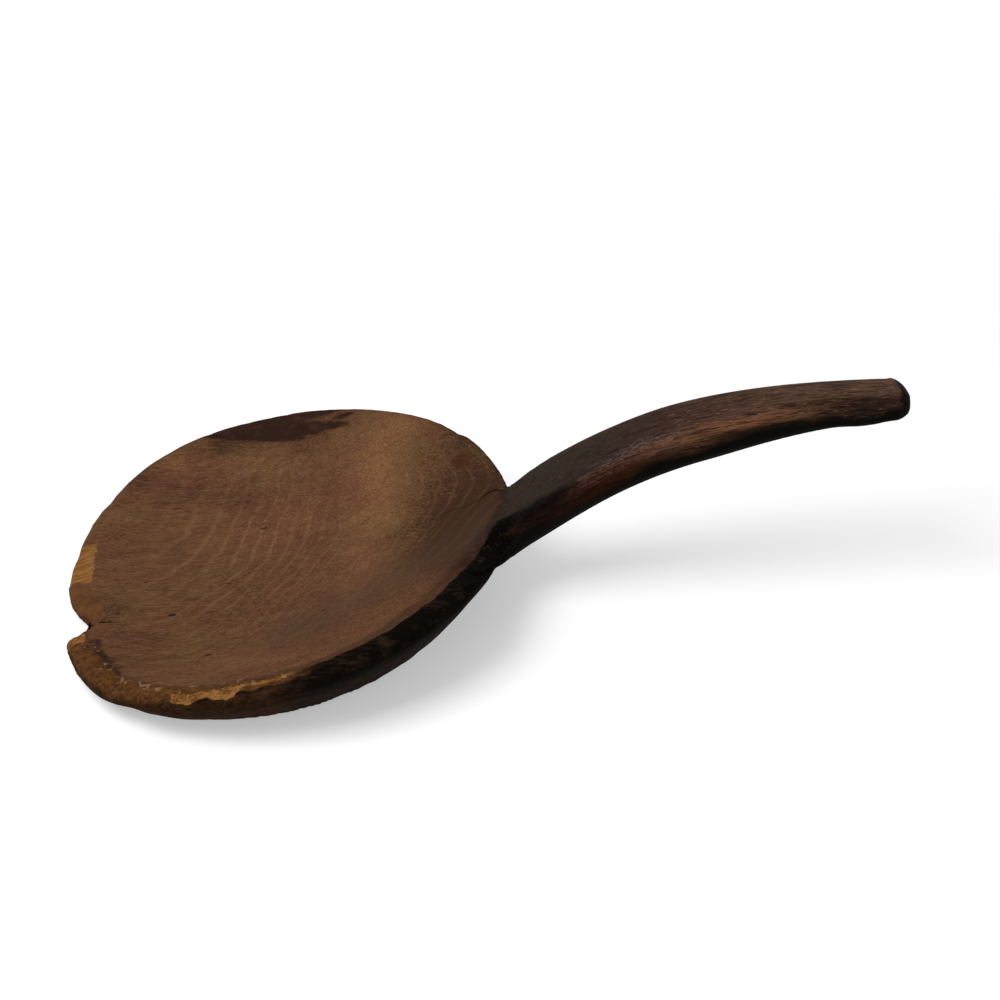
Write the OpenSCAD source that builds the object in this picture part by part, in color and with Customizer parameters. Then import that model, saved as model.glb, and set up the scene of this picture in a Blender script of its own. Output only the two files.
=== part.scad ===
// Hand-carved wooden butter paddle: a broad, shallow, dished blade and a rising handle.
// X runs along the paddle towards the handle, Y runs across it and Z is up.
// The flat foot under the blade lies on Z = 0, and the blade's centre is over the origin.

/* [Blade outline] */
// From the blade's centre forward to its tip
tip_reach = 64; // [54:0.5:74]
// From the blade's centre back to the neck, where the handle starts
neck_reach = 77.5; // [68:0.5:88]
// Width of the blade over its rim
blade_width = 153; // [130:0.5:175]
// Fullness of the tip: 2 is an ellipse, more is squarer
tip_fullness = 2.4; // [2:0.05:3]
// Fullness of the shoulders: 2 is an ellipse, less is more sloping
shoulder_fullness = 1.95; // [1.7:0.05:2.3]
// How far the round of the shoulders would run past the neck
shoulder_bulge = 1.5; // [0.5:0.1:3]
// Turn, in degrees, over which the rim grows out of the neck
shoulder_blend = 28; // [14:1:40]

/* [Rim and dish] */
// Height of the rim's ridge at the tip
rim_tip_h = 7; // [5:0.25:10]
// Height of the rim's ridge at the blade's widest place
rim_side_h = 22.25; // [19:0.25:27]
// Height of the rim's ridge beside the neck
rim_neck_h = 36.25; // [32:0.25:41]
// From the rim's ridge out to its edge
lip_w = 5.5; // [3:0.25:8]
// From the rim's ridge down to its edge
lip_drop = 4.75; // [3:0.25:7]
// Thickness of the floor at the blade's centre
floor_t = 9.25; // [8:0.25:13]
// Curve of the dish: more keeps the floor flat for longer and turns it up later
dish_curve = 2.3; // [1.8:0.1:3]

/* [Underside] */
// Inset of the flat foot from the edge at the tip
foot_inset_tip = 9; // [7:0.5:14]
// Inset of the flat foot from the edge at the neck
foot_inset_neck = 23; // [16:0.5:32]
// Form of the outer wall: 1 is a straight bevel, 2 is a round
wall_form = 1.15; // [1:0.05:2]

/* [Tip notch] */
// Depth of the worn notch in the tip
notch_depth = 6.5; // [0:0.25:9]
// Place of the notch across the blade
notch_y = -20.5; // [-30:0.5:30]
// Width of the notch's longer side
notch_long_side = 16; // [8:0.5:22]
// Width of the notch's shorter side
notch_short_side = 9; // [6:0.5:16]

/* [Handle path] */
// From the neck to the handle's end, along X
handle_reach = 124.5; // [100:0.5:150]
// Height of the handle's side ridge at the neck
neck_h = 28.75; // [26:0.25:31]
// Height of the handle's side ridge at its end
handle_end_h = 65; // [55:0.5:75]
// Slope of the handle at the neck, in degrees
neck_slope = 43; // [30:1:48]
// Slope of the handle at its end, in degrees
end_slope = 0; // [-10:1:12]
// How far the slope at the neck carries on
neck_pull = 45; // [30:1:56]
// How far the slope at the end carries back
end_pull = 47; // [30:1:60]

/* [Handle section] */
// Width at the neck
neck_w = 22; // [19:0.5:26]
// Crown above the side ridge at the neck
neck_crown = 0.5; // [0:0.25:3]
// Keel below the side ridge at the neck
neck_keel = 14.25; // [11:0.25:16]
// Width at the grip
grip_w = 20.5; // [15:0.5:24]
// Crown above the side ridge at the grip
grip_crown = 4.5; // [3:0.25:8]
// Keel below the side ridge at the grip
grip_keel = 9.75; // [6:0.25:12]
// Width near the end
end_w = 17; // [12:0.5:22]
// Crown above the side ridge near the end
end_crown = 3.75; // [2.5:0.25:6]
// Keel below the side ridge near the end
end_keel = 3.25; // [2:0.25:6]
// Height of the soft ridge along the handle's sides
side_ridge = 2.5; // [1.5:0.25:4]
// Length of the rounding at the blunt end
end_round = 8; // [6:0.5:14]
// Lean of the blunt end, in degrees, so that its upper corner is cut back
end_lean = 14; // [0:1:30]
// Length of the small heel under the end
heel_length = 21; // [14:0.5:30]
// Drop of the heel below the handle, which tapers off towards the end
heel_drop = 2.75; // [1:0.25:6]

/* [Hidden] */

blade_colour = [0.37, 0.25, 0.17];
handle_colour = [0.24, 0.16, 0.12];

// Steps of the surfaces
rim_steps = 132;
neck_steps = 6;
dish_steps = 11;
lip_steps = 4;
wall_steps = 7;
handle_steps = 26;
round_steps = 6;

// Exponents of the handle's crown and keel, and the share of its length that turns out of the neck
crown_form = 3;
keel_form = 2.4;
end_form = 2.6;
turn_share = 0.2;
// The rim's own height takes over from the dish close to the ridge, and the notch cuts only the outer part
ridge_power = 4;
notch_start = 0.75;
notch_form = 1.3;
// The blade is made this much deeper and then cut flat to make its foot
foot_cut = 1;
// Least share of the section that is left at the handle's very end
end_share = 0.14;
// Length over which the heel steps down
heel_step = 5;
// Keeps the neck's plane from being met at right angles to it
least_cosine = 0.01;

half_width = blade_width/2;
dish_depth = rim_side_h - floor_t;
blade_length = tip_reach + neck_reach;

function clamp(t) = max(0, min(1, t));
function smooth(t) = clamp(t)*clamp(t)*(3 - 2*clamp(t));
function mix(a, b, t) = a + (b - a)*t;

// Crown and keel of the handle's section at a share t of its half width
function crown_at(t, crown) = side_ridge/2 + crown*(1 - pow(abs(t), crown_form));
function keel_at(t, keel) = -side_ridge/2 - keel*pow(1 - pow(abs(t), keel_form), 1/keel_form);

// Places across the section, closer together at its sides, as shares of the half width
across = [for (i = [-neck_steps:neck_steps]) sin(90*i/neck_steps)];

// Height of the rim's ridge at x: a parabola through its three heights
function rim_h(x) =
    rim_tip_h*x*(x - neck_reach)/(tip_reach*blade_length)
    + rim_side_h*(x + tip_reach)*(neck_reach - x)/(tip_reach*neck_reach)
    + rim_neck_h*x*(x + tip_reach)/(neck_reach*blade_length);

// Distance from the blade's centre to its edge in direction th, before the notch
function round_r(th, length, form) =
    pow(pow(abs(cos(th))/length, form) + pow(abs(sin(th))/half_width, form), -1/form);
function edge_r(th) =
    cos(th) < 0 ? round_r(th, tip_reach, tip_fullness)
    : min(round_r(th, neck_reach + shoulder_bulge, shoulder_fullness), neck_reach/max(cos(th), least_cosine));

// Depth of the notch where the edge is y across the blade
function notch_at(y) =
    let (side = y > notch_y ? notch_long_side : notch_short_side)
    notch_depth*pow(clamp(1 - abs(y - notch_y)/side), notch_form);

// A column is one radial profile of the blade:
// [direction, edge radius, lip width, ridge height, edge height, foot inset, notch depth]
neck_corner = atan2(neck_w/2, neck_reach);
function foot_inset(x) = mix(foot_inset_tip, foot_inset_neck, clamp((x + tip_reach)/blade_length));
function neck_column(t) =
    let (th = atan2(t*neck_w/2, neck_reach))
    [th, neck_reach/cos(th), 0, neck_h + crown_at(t, neck_crown), neck_h + keel_at(t, neck_keel), foot_inset_neck, 0];
function rim_column(th) =
    let (
        off_axis = min(th, 360 - th),
        out = smooth((off_axis - neck_corner)/shoulder_blend),
        r = edge_r(th),
        lip = lip_w*out,
        rim = rim_h((r - lip)*cos(th)),
        ridge_z = mix(neck_h + side_ridge/2, rim, out),
        edge_z = mix(neck_h - side_ridge/2, rim - min(lip_drop, rim/2), out)
    )
    [th, r, lip, ridge_z, edge_z, foot_inset(r*cos(th)), cos(th) < 0 ? notch_at(r*sin(th)) : 0];
columns = concat(
    [for (t = across) neck_column(t)],
    [for (i = [1:rim_steps - 1]) rim_column(neck_corner + (360 - 2*neck_corner)*i/rim_steps)]
);

function polar(r, th, z) = [r*cos(th), r*sin(th), z];
// The dish, from the centre (f = 0) to the ridge (f = 1)
function dish_point(c, f) =
    let (
        ridge_r = c[1] - c[2],
        r = f*ridge_r - c[6]*smooth((f - notch_start)/(1 - notch_start)),
        lift = c[3] - rim_h(ridge_r*cos(c[0]))
    )
    polar(r, c[0], rim_h(r*cos(c[0])) - dish_depth*(1 - pow(f, dish_curve)) + lift*pow(f, ridge_power));
// The rounded lip, from the ridge (t = 0) to the edge (t = 1)
function lip_point(c, t) =
    polar(c[1] - c[2]*(1 - sin(90*t)) - c[6], c[0], mix(c[4], c[3], cos(90*t)));
// The outer wall, from the edge (t = 0) to the foot (t = 1)
function wall_point(c, t) =
    let (power = 2/wall_form)
    polar(c[1] - c[5]*(1 - pow(cos(90*t), power)) - c[6]*(1 - t), c[0],
        mix(c[4], -foot_cut, pow(sin(90*t), power)));

rings = concat(
    [for (j = [1:dish_steps]) [for (c = columns) dish_point(c, sin(90*j/dish_steps))]],
    [for (j = [1:lip_steps]) [for (c = columns) lip_point(c, j/lip_steps)]],
    [for (j = [1:wall_steps]) [for (c = columns) wall_point(c, j/wall_steps)]]
);

// Triangles of a closed skin over rows of points, with one more point before and after all of them
function skin_faces(rows, count) =
    let (last = rows*count + 1)
    concat(
        [for (i = [0:count - 1]) [0, 1 + (i + 1)%count, 1 + i]],
        [for (j = [0:rows - 2], i = [0:count - 1], half = [0, 1])
            let (
                a = 1 + j*count + i,
                b = 1 + j*count + (i + 1)%count
            )
            half == 0 ? [a, b, b + count] : [a, b + count, a + count]],
        [for (i = [0:count - 1]) [last - count + i, last - count + (i + 1)%count, last]]
    );
module skin(start, rows, end) {
    points = concat([start], [for (row = rows) each row], [end]);
    polyhedron(points, skin_faces(len(rows), len(rows[0])));
}

module blade() {
    color(blade_colour)
    difference() {
        skin([0, 0, floor_t], rings, [0, 0, -foot_cut]);
        translate([-tip_reach - foot_cut, -half_width - foot_cut, -2*foot_cut])
            cube([blade_length + 2*foot_cut, blade_width + 2*foot_cut, 2*foot_cut]);
    }
}

// The handle's side ridge follows one curve in the XZ plane, from the neck to the end
path = [
    [neck_reach, neck_h],
    [neck_reach + neck_pull*cos(neck_slope), neck_h + neck_pull*sin(neck_slope)],
    [neck_reach + handle_reach - end_pull*cos(end_slope), handle_end_h - end_pull*sin(end_slope)],
    [neck_reach + handle_reach, handle_end_h]
];
function path_point(t) =
    pow(1 - t, 3)*path[0] + 3*pow(1 - t, 2)*t*path[1] + 3*(1 - t)*t*t*path[2] + pow(t, 3)*path[3];
function path_slope(t) =
    let (d = pow(1 - t, 2)*(path[1] - path[0]) + 2*(1 - t)*t*(path[2] - path[1]) + t*t*(path[3] - path[2]))
    atan2(d[1], d[0]);
// A size that goes from the neck through the grip, half way along, to the end
function along(t, at_neck, at_grip, at_end) =
    t < 0.5 ? mix(at_neck, at_grip, smooth(2*t)) : mix(at_grip, at_end, smooth(2*t - 1));

end_x = neck_reach + handle_reach;
round_share = end_round/(3*end_pull);
stations = concat(
    [for (i = [0:handle_steps]) (1 - round_share)*i/handle_steps],
    [for (i = [1:round_steps]) 1 - round_share*(1 - sin(90*i/round_steps))]
);
function handle_section(t) =
    let (
        at = path_point(t),
        from_end = end_x - at[0],
        closing = clamp(1 - from_end/end_round),
        share = max(end_share, pow(1 - pow(closing, end_form), 0.5)),
        half = share*along(t, neck_w, grip_w, end_w)/2,
        crown = along(t, neck_crown, grip_crown, end_crown),
        heel = heel_drop*smooth((heel_length - from_end)/heel_step)*clamp(from_end/heel_length),
        keel = along(t, neck_keel, grip_keel, end_keel) + heel,
        tilt = path_slope(t)*smooth(t/turn_share) + end_lean*smooth(closing)
    )
    concat(
        [for (s = across) let (h = share*crown_at(s, crown)) [at[0] - h*sin(tilt), s*half, at[1] + h*cos(tilt)]],
        [for (s = -across) let (h = share*keel_at(s, keel)) [at[0] - h*sin(tilt), s*half, at[1] + h*cos(tilt)]]
    );

module handle() {
    color(handle_colour)
    skin([neck_reach, 0, neck_h], [for (t = stations) handle_section(t)], [end_x, 0, handle_end_h]);
}

blade();
handle();
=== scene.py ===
import math

import bmesh
import bpy
import numpy as np
from mathutils import Euler, Matrix, Vector


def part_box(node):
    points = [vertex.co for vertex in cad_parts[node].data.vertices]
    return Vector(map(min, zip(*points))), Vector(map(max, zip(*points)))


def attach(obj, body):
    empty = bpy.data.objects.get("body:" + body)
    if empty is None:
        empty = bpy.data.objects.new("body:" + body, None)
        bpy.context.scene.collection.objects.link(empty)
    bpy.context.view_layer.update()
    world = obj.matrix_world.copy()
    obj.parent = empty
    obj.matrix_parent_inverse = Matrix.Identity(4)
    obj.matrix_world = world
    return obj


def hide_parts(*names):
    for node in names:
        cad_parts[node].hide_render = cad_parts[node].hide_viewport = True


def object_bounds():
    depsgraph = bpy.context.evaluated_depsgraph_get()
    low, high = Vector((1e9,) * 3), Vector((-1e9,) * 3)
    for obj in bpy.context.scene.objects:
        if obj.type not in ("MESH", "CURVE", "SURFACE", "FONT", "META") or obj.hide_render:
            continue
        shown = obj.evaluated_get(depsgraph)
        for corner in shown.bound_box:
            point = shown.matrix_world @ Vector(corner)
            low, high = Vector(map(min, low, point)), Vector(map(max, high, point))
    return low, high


# A hand-carved wooden butter paddle. The CAD solids give its form and size. This script rounds them into
# one skin, carves the marks of the knife, of use and of age into it, and gives it its wood.
# Lengths are in millimetres in the part's own frame, and turn into metres where Blender takes them.

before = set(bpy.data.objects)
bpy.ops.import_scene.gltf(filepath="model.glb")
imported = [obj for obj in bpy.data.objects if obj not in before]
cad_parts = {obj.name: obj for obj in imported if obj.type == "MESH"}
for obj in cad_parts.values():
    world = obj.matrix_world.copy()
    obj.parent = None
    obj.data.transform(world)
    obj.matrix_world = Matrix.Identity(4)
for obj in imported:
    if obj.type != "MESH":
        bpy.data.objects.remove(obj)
cad_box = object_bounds()

MM = 0.001
BLADE_LOW, BLADE_HIGH = (np.array(corner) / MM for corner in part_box("blade"))
HANDLE_LOW, HANDLE_HIGH = (np.array(corner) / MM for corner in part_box("handle"))
TIP = BLADE_LOW[0]
SEAM = HANDLE_LOW[0]
END = HANDLE_HIGH[0]
HALF_WIDTH = BLADE_HIGH[1]

# The camera stands where the photograph was taken from
VIEW_AZIMUTH = -4
VIEW_ELEVATION = 34
CAMERA_AWAY = 600
CAMERA_RIGHT = 74.1
CAMERA_UP = 29.7
CAMERA_LENS = 66.6
SENSOR = 36

# Floor and light
FLOOR_WIDTH = 6000
FLOOR_GAP = 0.2
FLOOR_ALBEDO = 0.7
FLOOR_GLOW = 0.4
# It stays white far away, where the light is weaker: from and to how far, glow there
FLOOR_FAR = (250, 900)
FLOOR_FAR_GLOW = 0.7
SKY = 0.5
KEY_PLACE = (-420, -230, 880)
KEY_WIDTH = 550
KEY_POWER = 6.9

# The skin's grid, and how much it is rounded and relaxed
GRID = 0.82
SMOOTH_LEVELS = 2
RELAX = 0.5
RELAX_BACK = -0.52
RELAX_PASSES = 6
WELD = 0.001
# The floor is relaxed more: passes, from and to how far inside the rim
FLOOR_PASSES = 40
FLOOR_INSIDE = (-3, -12)
# So is the hollow before the neck: passes, reach along, from and to across and in height
NECK_PASSES = 70
NECK_REACH = 11
NECK_ACROSS = (9, 3)
NECK_HEIGHT = (17, 24)
# Step of the directions on the rim, in degrees: 0 is the neck, 180 the tip and -90 the front
RIM_STEP = 1
# The ridge is the highest place outside this share of the radius, where the skin looks up
RIM_INNER = 0.85
RIM_UP = 0.4
# Before the neck the ridge swings in from the edge: direction, how far
RIDGE_IN = [(-75, 0), (-54, 1), (-41, 1.4), (-29, 3.6), (-21, 6.4), (-16, 7.6), (-12, 7.2), (-9.5, 5),
            (-7, 0)]

# Edge from the front ridge into the handle: how far past the neck, how far across
NECK_EDGE = [(-24.5, -47), (-16.5, -34), (-12.6, -24.7), (-10.7, -19), (-8.9, -14.2), (-6.4, -9.8), (-4, -7),
             (0.8, -6.4), (5.7, -7.8), (11.5, -9.2), (16.6, -9.2), (21.8, -8.8), (27, -8.5)]
# The facet below it: fall, deepest cut, from and to in shares of the edge
NECK_FALL = 0.9
NECK_CUT_MOST = 9
NECK_FACET = (0.3, 0.66)

# How far the hand-cut outline lies outside the even one: below the handle by share, at the rim by direction
GRIP_UNDERSIDE = [(-0.04, 0.9), (0.05, 0.5), (0.12, -0.1), (0.19, 0.1), (0.28, 0.9), (0.38, 1.2), (0.5, 0.9),
                  (0.62, 0.35), (0.75, 0.25), (0.86, 0.5), (0.93, 0.3), (1, -0.2)]
RIM_LINE = [(15, 0), (30, 0.5), (50, 0.5), (65, 0), (88, 0), (98, 0.3), (112, 1.0), (128, 1.0), (140, 0.3),
            (150, -0.4), (165, -0.5), (178, 0)]
# What rounding took: directions of the tip's lip, depth there and at the handle's end
TIP_LIP = (-210, -130)
TIP_FULLER = 0.9
END_FULLER = 0.55
# Worn edge of the foot along the front: directions, depth, height
FOOT_EDGE = (-150, -40)
FOOT_EDGE_DEPTH = 1.1
FOOT_EDGE_HEIGHT = 4.5

# Marks of the knife: depth, size round the wall and up it or along and across, radius of the handle
WALL_CUTS = (0.45, 8, 60)
FLOOR_CUTS = (0.10, 70, 9)
GRIP_CUTS = (0.30, 45, 6)
GRIP_RADIUS = 9
# The hand's unevenness: depth and width
WAVES = (0.22, 26)

# Drying crack in the floor: how far back from the neck, how far across
NECK_CRACK = [(1.6, 9.6), (4.1, 11.0), (6.1, 10.3), (8.4, 8.4), (12.1, 6.0), (14.7, 5.6),
              (16.9, 6.3), (20.6, 5.1), (25.5, 3.6), (30, 3.1), (35.5, 3.7)]
NECK_CRACK_WIDTH = 0.4
NECK_CRACK_DEPTH = 1.5
# Short cracks by the notch in the tip: how far back from the tip, how far across
TIP_CRACKS = [[(7.7, -16.5), (8.8, -16.8), (11, -17.6)],
              [(9.8, -23.3), (11.6, -23.1), (14.1, -22.5), (17, -22.1), (21, -21.7)]]
TIP_CRACK_WIDTH = 0.42
TIP_CRACK_DEPTH = 0.55
# Where the grid is made finer: reach of the cracks, directions on the rim, from and to beside its ridge
CRACK_REACH = 0.9
FINE_LIPS = [(-160, -70), (150, 200)]
FINE_RIM = (-2.5, 7)

# Outline of the worn notch in the tip: how far back from the tip, how far across
NOTCH = [(2.6, -31), (3.4, -28), (4.2, -26.5), (5.8, -24.8), (7.4, -21.5), (7.9, -18.5), (7.7, -16.4),
         (7.1, -14.8), (5.7, -13.8), (4, -12.6), (1.7, -8.9), (-0.2, -2.2)]
# Its worn slope: height in its middle and at its ends, rise above and below, where it stops and how high
NOTCH_EDGE = 1.5
NOTCH_END = 4.2
NOTCH_RISE = 0.62
NOTCH_RISE_LOW = 1.3
NOTCH_STOP = (-11, -5)
NOTCH_STOP_HEIGHT = 6

# Splinter split off the tip's lip: from and to across, how far back, its change across, slope, depth
CHIP_ACROSS = (-1.6, 19.2)
CHIP_BACK = 6.6
CHIP_SLANT = 0.05
CHIP_SLOPE = 0.36
CHIP_DEPTH = 0.25

# Flat cut inside the rim at the back: two places on its lower edge, its end, depth
BACK_CUT = [(-24, 69), (14, 59.4)]
BACK_CUT_END = 21
BACK_CUT_DEPTH = 1.1
# Nick in the rim, and bitten corner before the neck: direction, half width in degrees, depth
NICK = (35, 5, 0.7)
BITTEN = (-19, 11, 0.9)

# Pits in the floor: x, y, length along the grain, width
PITS = [(-30.1, -17.9, 3.2, 2), (-17.1, -45, 3.8, 1.5), (-39.8, 0.5, 1.6, 0.8), (-2.5, 22.4, 3.4, 0.9),
        (-13, -3.7, 3, 0.8), (18, -32, 1.8, 0.6), (30, 12, 2.2, 0.6), (-8, 40, 1.8, 0.6)]
PIT_DEPTH = 0.4
# Knot near the neck: x, y, radius, and depth of its hollow
KNOT = (63.3, 27.4, 3.1)
KNOT_DEPTH = 0.15

# Worn rim in directions: rubbed patch, its widest part, its waist, scuffed lip, lobe, speckled ridge
RUBBED = (-109, -84)
RUBBED_WIDE = (-109, -96)
RUBBED_WAIST = (-102, -95)
SCUFFED = (-157, -90)
LOBE = (-148, -108)
SPECKLED = (-150, -86)
RUBBED_DEPTH = 0.5
BITE_DEPTH = 0.75
NIBBLE_DEPTH = 0.3
# Reach of the scuffed lip at both ends, and the directions between which it changes
SCUFF_REACH = (3.6, 1.9)
SCUFF_NARROWS = (-118, -100)
# Lip that is clean of the old surface: directions from and to, softness of its ends, width
CLEAN_LIP = [(25, 176, 10, 2.6), (135, 174, 12, 4), (174, 200, 4, 6)]
# Warm lip beside the notch: directions
OCHRE_LIP = (-186, -160)
# Line of the pale slope by the notch: how far back from the tip, how far across
NOTCH_PALE = [(8.8, -26.5), (14.5, -24.8)]
# Small bare patch on the corner below the notch: how far back from the tip, how far across, radius
CORNER_PATCH = (6.2, -32.2, 3.6)

# Stained floor: directions inside the lobe and along the front, shares of the neck's edge
STAINED_LOBE = (-147, -130)
STAINED_FRONT = (-128, -29)
STAINED_NECK = (0.26, 0.55)
# Lower front wall, where the old surface is thinner: directions, how far below the ridge
LOW_WALL = (-105, -15)
LOW_WALL_DROP = (5, 13)
# Where growth rings show: x, y, reach along, reach across, how clearly; then how clearly elsewhere
RINGS = [(-12, 6, 36, 34, 1), (52, 16, 16, 18, 0.5)]
RINGS_ELSEWHERE = 0.15
# Growth rings: distance, tilt along and across, and bends as length, width and how far
RING_WIDTH = 2.4
RING_TILT = (0.2, -0.244)
RING_BENDS = [(60, 30, 7), (30, 6, 0.6)]
# Depth of the fine relief of fibres and pores
BUMP_DEPTH = 0.4
# Dry grey band on the floor: its line and its width
GREY_BAND = [(70, -9), (51, -20), (32, -28), (10, -40)]
GREY_WIDTH = 10
# Painted streak of light across the floor, its half width at both ends, and how light it is
PAINTED_LIGHT_PATH = [(40, 58), (35, 38), (32, 8), (28, -18), (25, -34)]
PAINTED_LIGHT_WIDTH = (12, 5)
PAINTED_LIGHT_AMOUNT = 0.48
# Light and dark places on the floor: x, y, radius along, radius across, lighter or darker
TONES = [(36, 46, 14, 14, 0.1), (-20, 25, 26, 22, 0.08), (52, -8, 12, 16, -0.15), (69, 0, 19, 26, -1.3),
         (56, -28, 20, 14, -0.42), (-44, -40, 12, 14, -0.2), (20, -40, 30, 20, -0.1), (0, 55, 22, 8, 0.2),
         (-10, -15, 22, 14, -0.12), (-45, 52, 6, 7, -0.4), (-16, 64, 12, 4, -0.6), (-51, -16, 7, 6, -0.4),
         (41, 63, 9, 7, -0.5), (28, 66, 8, 5, -0.3), (41, 18, 8, 12, 0.3), (42, -27, 10, 8, 0.35),
         (68, 39, 7, 8, -0.8), (30, 57, 6, 5, -0.25), (12, 56, 9, 6, -0.4), (8, 24, 9, 8, 0.2),
         (-33, 58, 7, 6, 0.25), (-29, 46, 8, 6, -0.35), (-12, 41, 9, 8, -0.25), (-3, -55, 14, 7, 0.25)]

# Where the handle's surface starts: how far back from the neck, and the change across
GRIP_BACK = 4
GRIP_SLANT = 0.32
# Step along the handle, and how far the fibres follow its rise
LIFT_STEP = 4
FIBRE_FOLLOW = 0.75
# In shares of the handle: where its shoulders are polished and get a painted sheen, where its end goes black
# and where its heel gets painted shade
POLISH_AND_SHEEN = (0.2, 0.38)
END_BLACK = (0.9, 0.95)
HEEL_SHADE = (0.74, 0.83)
# Level of the polish and painted sheen between the handle's lowest and highest places
POLISH_AND_SHEEN_LEVEL = (0.67, 0.84)
# Where faces look down enough to get painted shade, and its shifts along the handle: from, to, softness,
# shift
UNDER_START = -0.15
UNDER_SHIFTS = [(0.12, 0.28, 0.08, 0.14), (0.33, 0.4, 0.05, -0.06), (0.52, 0.78, 0.06, -0.16)]


def rgb(red, green, blue):
    """A colour written as 8-bit sRGB, as the linear colour that a shader takes."""
    def linear(level):
        share = level / 255
        return share / 12.92 if share <= 0.04045 else ((share + 0.055) / 1.055) ** 2.4
    return (linear(red), linear(green), linear(blue), 1)


# Helpers for shapes

def clamp(values):
    return np.clip(values, 0, 1)


def blend(first, last, share):
    return first + (last - first) * share


def ramp(values, start, end):
    """0 at start and 1 at end, eased at both."""
    share = clamp((values - start) / (end - start))
    return share * share * (3 - 2 * share)


def span(values, start, end, soft):
    """1 between start and end, falling to 0 over soft outside them."""
    return ramp(values, start - soft, start) * ramp(values, end + soft, end)


def eased(values, table, soft):
    """Values looked up in a table of pairs, with its corners rounded."""
    return sum(np.interp(values + shift, *zip(*table)) for shift in (-soft, 0, soft)) / 3


def noise(points, size, seed):
    """Smooth noise from -1 to 1, of features about size wide, for all axes or each. Each use has its seed."""
    at = points / np.asarray(size, float) + 17.3 * (seed + 1)
    cell = np.floor(at).astype(np.int64)
    share = at - cell
    share = share * share * (3 - 2 * share)
    total = np.zeros(len(points))
    for corner in np.ndindex(2, 2, 2):
        x, y, z = (cell + corner).T
        mixed = (x * 73856093 ^ y * 19349663 ^ z * 83492791 ^ (seed + 1) * 40503) & 0xFFFFFFFF
        mixed = ((mixed ^ (mixed >> 13)) * 1274126177) & 0xFFFFFFFF
        value = ((mixed ^ (mixed >> 16)) & 0xFFFF) / 32767.5 - 1
        total += value * np.prod(np.where(corner, share, 1 - share), axis=1)
    return total


def rough(points, size, seed, octaves):
    """Noise with finer noise on it."""
    size = np.asarray(size, float)
    parts = [noise(points, size / 2 ** i, seed + 7 * i) / 2 ** i for i in range(octaves)]
    return sum(parts) / sum(0.5 ** i for i in range(octaves))


def path_distance(places, path):
    """How far places lie from a path of points in their plane, and the share of its length there."""
    path = np.asarray(path, float)
    lengths = np.hypot(*np.diff(path, axis=0).T)
    starts = np.concatenate([[0], np.cumsum(lengths)])
    nearest = np.full(len(places), np.inf)
    share = np.zeros(len(places))
    for a, b, length, start in zip(path[:-1], path[1:], lengths, starts):
        t = clamp((places - a) @ (b - a) / length ** 2)
        far = np.hypot(*(places - a - t[:, None] * (b - a)).T)
        closer = far < nearest
        nearest[closer] = far[closer]
        share[closer] = ((start + t * length) / starts[-1])[closer]
    return nearest, share


# The skin

def add_object(name, data):
    made = bpy.data.objects.new(name, data)
    bpy.context.scene.collection.objects.link(made)
    return made


def welded_solids():
    """Both CAD solids as one closed mesh, welded where they meet at the neck."""
    shell = bmesh.new()
    for node in ("blade", "handle"):
        shell.from_mesh(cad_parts[node].data)
    bmesh.ops.scale(shell, vec=(1 / MM,) * 3, verts=shell.verts)
    bmesh.ops.remove_doubles(shell, verts=shell.verts, dist=WELD)
    inside = [f for f in shell.faces if all(abs(v.co.x - SEAM) < WELD for v in f.verts)]
    bmesh.ops.delete(shell, geom=inside, context="FACES")
    bmesh.ops.join_triangles(
        shell, faces=shell.faces, angle_face_threshold=0.6, angle_shape_threshold=1.2)
    crease = shell.edges.layers.float.new("crease_edge")
    for edge in shell.edges:
        on_foot = [all(v.co.z < WELD for v in f.verts) for f in edge.link_faces]
        edge[crease] = float(any(on_foot) and not all(on_foot))
    mesh = bpy.data.meshes.new("skin")
    shell.to_mesh(mesh)
    shell.free()
    return mesh


def even_skin():
    """The welded solids, rounded and remeshed to an even grid."""
    piece = add_object("skin", welded_solids())
    rounding = piece.modifiers.new("rounding", "SUBSURF")
    rounding.levels = SMOOTH_LEVELS
    even = piece.modifiers.new("even", "REMESH")
    even.mode = "VOXEL"
    even.voxel_size = GRID
    depsgraph = bpy.context.evaluated_depsgraph_get()
    mesh = bpy.data.meshes.new_from_object(piece.evaluated_get(depsgraph))
    bpy.data.objects.remove(piece)
    return mesh


def read(items, name, width, kind=np.float32):
    """Numbers that each of a mesh's items has under a name, one row for each."""
    values = np.empty(len(items) * width, kind)
    items.foreach_get(name, values)
    return values.reshape(-1, width)


def points_of(mesh):
    return read(mesh.vertices, "co", 3, float)


def normals_of(mesh):
    return read(mesh.vertex_normals, "vector", 3).astype(float)


def set_points(mesh, points):
    mesh.vertices.foreach_set("co", points.ravel())
    mesh.update()


def relax(mesh, weights, moving=1):
    """Smooths a mesh: one pass for each weight. Points move by the share given in moving."""
    edges = read(mesh.edges, "vertices", 2, np.int32)
    a, b = edges.T
    points = points_of(mesh)
    count = np.bincount(edges.ravel(), minlength=len(points))
    for weight in weights:
        for axis in range(3):
            line = points[:, axis]
            around = np.bincount(a, line[b], len(line)) + np.bincount(b, line[a], len(line))
            points[:, axis] = line + weight * moving * (around / count - line)
    set_points(mesh, points)


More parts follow.
